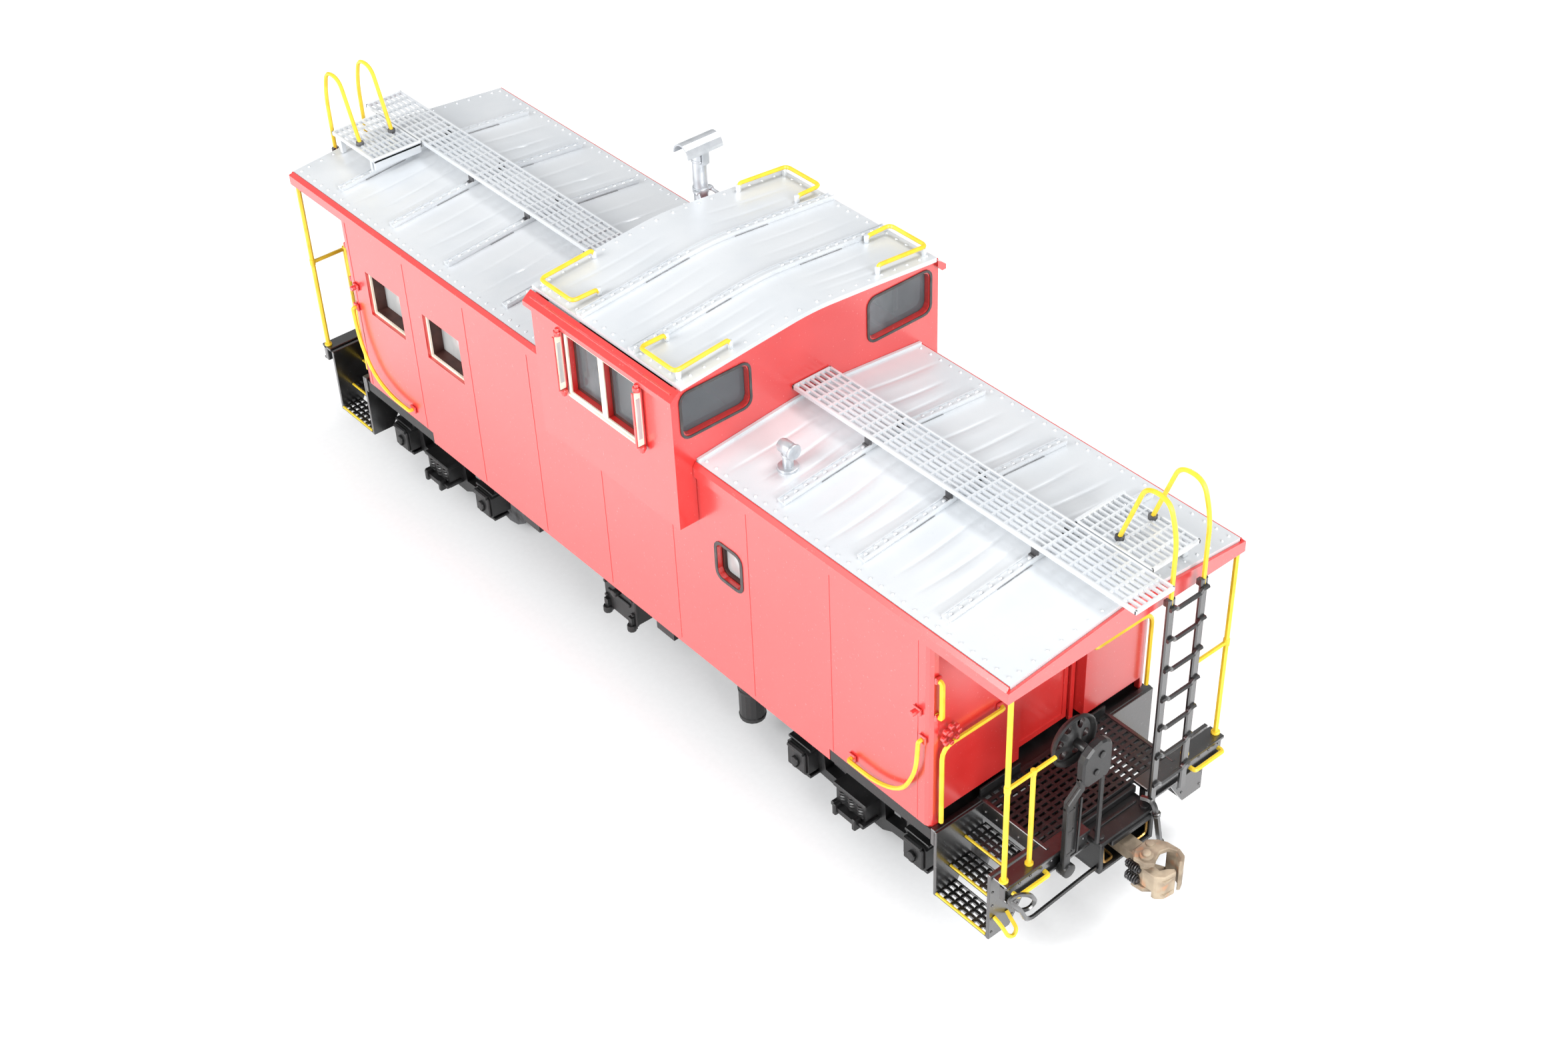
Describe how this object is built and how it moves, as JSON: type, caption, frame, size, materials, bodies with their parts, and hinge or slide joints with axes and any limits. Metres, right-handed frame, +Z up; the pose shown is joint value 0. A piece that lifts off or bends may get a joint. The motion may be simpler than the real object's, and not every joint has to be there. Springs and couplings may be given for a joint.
{
  "type": "model caboose",
  "caption": "Scale model railway caboose with a wide cupola, end platforms with steps and ladders, swivelling trucks, rolling wheelsets and swinging knuckle couplers.",
  "frame": {"origin": "under the middle of the car, level with the bottoms of the wheel flanges", "axes": "+X along the car to the A end (the long side of the car right of the cupola), +Y to the A end ladder's side, +Z up"},
  "size_m": [0.1468, 0.04, 0.0602],
  "materials": {
    "red_paint": "satin sprayed enamel on brass sheet",
    "silver_paint": "fine aluminium paint",
    "yellow_paint": "brush-painted wire",
    "black_paint": "satin black enamel",
    "rust_paint": "rust-brown weathering on cast metal",
    "wheel_steel": "turned, blackened sides with bright treads",
    "glazing": "thin clear plastic sheet"
  },
  "bodies": {
    "car": {"body_shell": "red_paint", "cupola_shell": "red_paint", "wind_deflector_left_a": "red_paint", "wind_deflector_left_b": "red_paint", "wind_deflector_right_a": "red_paint", "wind_deflector_right_b": "red_paint", "roof_a": "silver_paint", "roof_b": "silver_paint", "cupola_roof": "silver_paint", "running_board_a": "silver_paint", "running_board_b": "silver_paint", "smokejack": "silver_paint", "roof_vent": "silver_paint", "side_walk_a": "silver_paint", "side_walk_b": "silver_paint", "cupola_grab_left_a": "yellow_paint", "cupola_grab_left_b": "yellow_paint", "cupola_grab_right_a": "yellow_paint", "cupola_grab_right_b": "yellow_paint", "railing_brake_side_a": "yellow_paint", "railing_ladder_side_a": "yellow_paint", "end_grab_brake_side_a": "yellow_paint", "end_grab_ladder_side_a": "yellow_paint", "side_grab_brake_side_a": "yellow_paint", "side_grab_ladder_side_a": "yellow_paint", "end_platform_a": "black_paint", "ladder_a": "black_paint", "brake_stand_a": "black_paint", "brake_wheel_a": "black_paint", "uncoupling_lever_a": "black_paint", "draft_box_a": "black_paint", "railing_brake_side_b": "yellow_paint", "railing_ladder_side_b": "yellow_paint", "end_grab_brake_side_b": "yellow_paint", "end_grab_ladder_side_b": "yellow_paint", "side_grab_brake_side_b": "yellow_paint", "side_grab_ladder_side_b": "yellow_paint", "end_platform_b": "black_paint", "ladder_b": "black_paint", "brake_stand_b": "black_paint", "brake_wheel_b": "black_paint", "uncoupling_lever_b": "black_paint", "draft_box_b": "black_paint", "underframe": "black_paint", "drain_pipe": "black_paint", "equipment_box": "black_paint", "air_reservoir": "black_paint", "cupola_glazing": "glazing", "side_glazing_left": "glazing", "side_glazing_right": "glazing"},
    "truck_a": {"truck_frame_a": "black_paint"},
    "truck_b": {"truck_frame_b": "black_paint"},
    "wheelset_a_outer": {"wheelset_a_outer": "wheel_steel"},
    "wheelset_a_inner": {"wheelset_a_inner": "wheel_steel"},
    "coupler_a": {"coupler_a": "rust_paint"},
    "knuckle_a": {"knuckle_a": "rust_paint"},
    "wheelset_b_outer": {"wheelset_b_outer": "wheel_steel"},
    "wheelset_b_inner": {"wheelset_b_inner": "wheel_steel"},
    "coupler_b": {"coupler_b": "rust_paint"},
    "knuckle_b": {"knuckle_b": "rust_paint"}
  },
  "joints": [
    {"name": "truck_a_swivel", "type": "hinge", "parent": "car", "child": "truck_a", "pos_m": [0.0393, 0, 0.0105], "axis": [0, 0, 1], "range_deg": [-6, 6]},
    {"name": "wheelset_a_outer_spin", "type": "hinge", "parent": "truck_a", "child": "wheelset_a_outer", "pos_m": [0.04892, 0, 0.00545], "axis": [0, 1, 0], "continuous": true},
    {"name": "wheelset_a_inner_spin", "type": "hinge", "parent": "truck_a", "child": "wheelset_a_inner", "pos_m": [0.02968, 0, 0.00545], "axis": [0, 1, 0], "continuous": true},
    {"name": "coupler_a_swing", "type": "hinge", "parent": "car", "child": "coupler_a", "pos_m": [0.0604, 0, 0.0106], "axis": [0, 0, 1], "range_deg": [-12, 12], "stiffness_Nm_per_rad": 0.00002},
    {"name": "knuckle_a_open", "type": "hinge", "parent": "coupler_a", "child": "knuckle_a", "pos_m": [0.0701, -0.0009, 0.0106], "axis": [0, 0, -1], "range_deg": [0, 35], "stiffness_Nm_per_rad": 0.00001},
    {"name": "truck_b_swivel", "type": "hinge", "parent": "car", "child": "truck_b", "pos_m": [-0.0424, 0, 0.0105], "axis": [0, 0, 1], "range_deg": [-3, 3]},
    {"name": "wheelset_b_outer_spin", "type": "hinge", "parent": "truck_b", "child": "wheelset_b_outer", "pos_m": [-0.05202, 0, 0.00545], "axis": [0, 1, 0], "continuous": true},
    {"name": "wheelset_b_inner_spin", "type": "hinge", "parent": "truck_b", "child": "wheelset_b_inner", "pos_m": [-0.03278, 0, 0.00545], "axis": [0, 1, 0], "continuous": true},
    {"name": "coupler_b_swing", "type": "hinge", "parent": "car", "child": "coupler_b", "pos_m": [-0.0604, 0, 0.0106], "axis": [0, 0, 1], "range_deg": [-12, 12], "stiffness_Nm_per_rad": 0.00002},
    {"name": "knuckle_b_open", "type": "hinge", "parent": "coupler_b", "child": "knuckle_b", "pos_m": [-0.0701, 0.0009, 0.0106], "axis": [0, 0, -1], "range_deg": [0, 35], "stiffness_Nm_per_rad": 0.00001}
  ]
}
